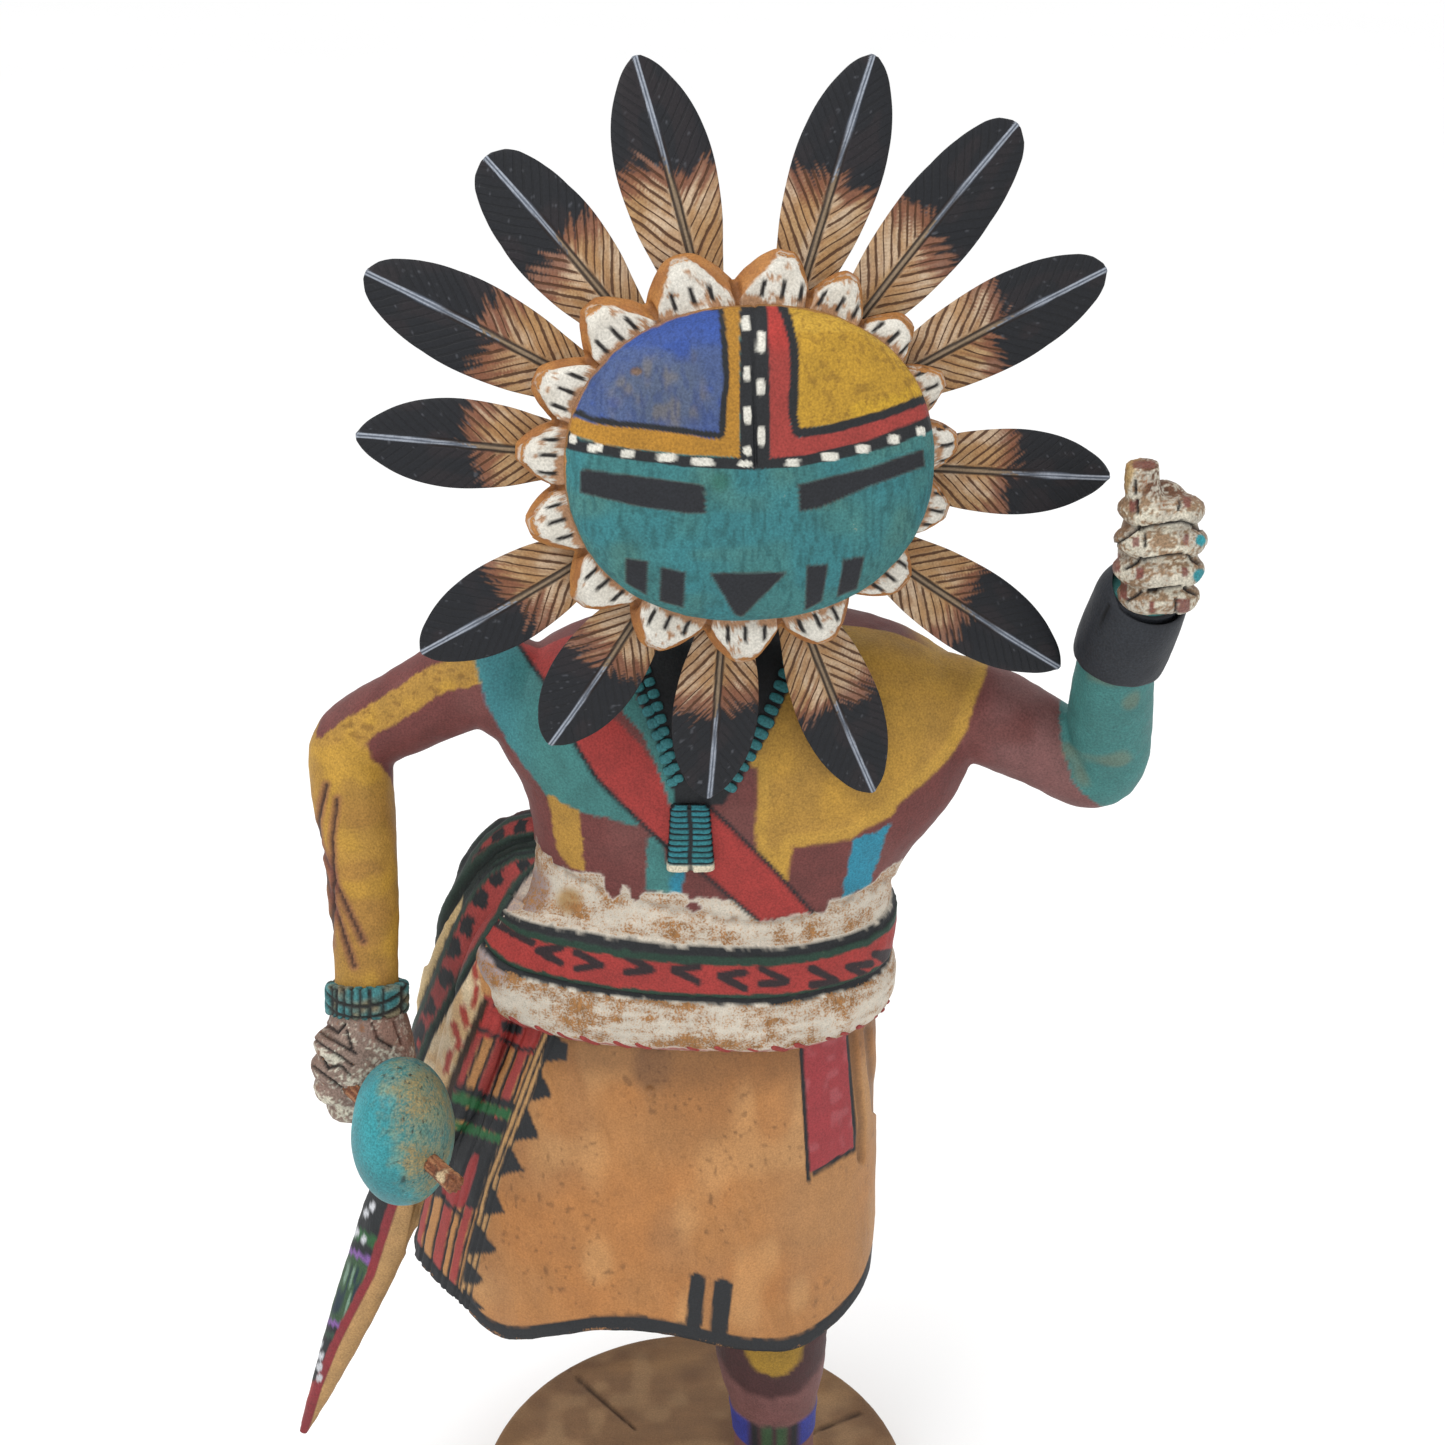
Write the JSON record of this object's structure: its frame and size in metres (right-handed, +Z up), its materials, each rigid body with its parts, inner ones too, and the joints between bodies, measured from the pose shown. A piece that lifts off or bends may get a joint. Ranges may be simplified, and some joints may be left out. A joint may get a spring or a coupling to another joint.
{
  "type": "kachina doll",
  "caption": "Carved and painted cottonwood dancer with a sun-face mask, feather disc, kilt, sash and gourd rattle, standing on a round slab",
  "frame": {"origin": "Centre of the round slab's flat underside, which the doll stands on", "axes": "+Z up, -Y the way the doll faces, +X its left hand, which is raised"},
  "size_m": [0.185, 0.1108, 0.3409],
  "materials": {
    "slab_wood": "bare sanded cottonwood, stained and rubbed at the rim",
    "painted_body": "matte earth and acrylic paints over carved cottonwood, with bare wood on the kilt",
    "painted_mask": "matte turquoise, ochre, blue and black paint, with whitewashed husk points worn to the wood",
    "painted_feather": "thin carved wood, cream at the root and black at the tip, matte",
    "painted_gourd": "matte speckled turquoise paint",
    "reed": "raw fibrous reed"
  },
  "bodies": {
    "root": {"base": "slab_wood", "figure": "painted_body", "mask": "painted_mask", "rattle_gourd": "painted_gourd", "rattle_stick": "reed", "feather_01": "painted_feather", "feather_02": "painted_feather", "feather_03": "painted_feather", "feather_04": "painted_feather", "feather_05": "painted_feather", "feather_06": "painted_feather", "feather_07": "painted_feather", "feather_08": "painted_feather", "feather_09": "painted_feather", "feather_10": "painted_feather", "feather_11": "painted_feather", "feather_12": "painted_feather", "feather_13": "painted_feather"}
  },
  "joints": []
}
